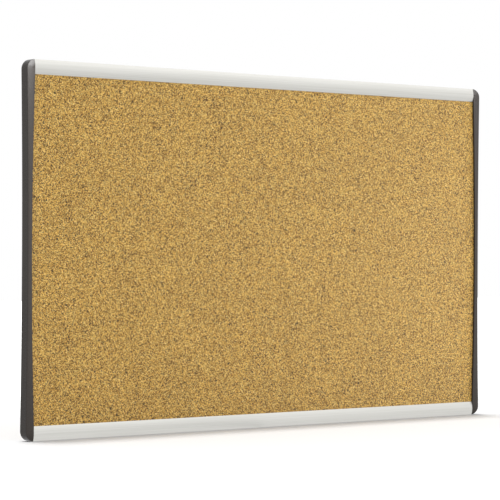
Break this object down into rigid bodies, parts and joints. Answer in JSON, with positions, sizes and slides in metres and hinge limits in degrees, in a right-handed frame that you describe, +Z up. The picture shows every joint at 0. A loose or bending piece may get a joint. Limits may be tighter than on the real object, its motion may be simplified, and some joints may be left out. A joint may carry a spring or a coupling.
{
  "type": "cork bulletin board",
  "caption": "Wall-hung cork bulletin board in a frame of crowned aluminium rails and waisted dark end caps, with sliding keyhole hangers on the back.",
  "frame": {"origin": "on the wall plane, behind the centre of the board", "axes": "+X to the right seen from the front, +Y into the wall, +Z up"},
  "size_m": [0.762, 0.016, 0.457],
  "materials": {
    "cork": "agglomerated natural cork, sanded",
    "fibreboard": "raw pressed fibreboard",
    "liner": "brown kraft paper",
    "anodised_aluminium": "satin clear anodised extrusion",
    "cap_plastic": "fine-textured moulded ABS, graphite",
    "zinc_steel": "bright zinc plated",
    "shoe_plastic": "moulded acetal, black",
    "rubber": "moulded rubber, black"
  },
  "bodies": {
    "board": {"cork_sheet": "cork", "core_board": "fibreboard", "back_liner": "liner", "top_rail": "anodised_aluminium", "bottom_rail": "anodised_aluminium", "left_end_cap": "cap_plastic", "right_end_cap": "cap_plastic", "cap_screws": "zinc_steel", "left_bumper": "rubber", "right_bumper": "rubber"},
    "left_hanger": {"left_hanger_shoe": "shoe_plastic", "left_hanger_plate": "zinc_steel", "left_hanger_screws": "zinc_steel"},
    "right_hanger": {"right_hanger_shoe": "shoe_plastic", "right_hanger_plate": "zinc_steel", "right_hanger_screws": "zinc_steel"}
  },
  "joints": [
    {"name": "left_hanger_slide", "type": "slide", "parent": "board", "child": "left_hanger", "axis": [1, 0, 0], "range_m": [-0.127, 0.168]},
    {"name": "right_hanger_slide", "type": "slide", "parent": "board", "child": "right_hanger", "axis": [1, 0, 0], "range_m": [-0.168, 0.127]}
  ]
}
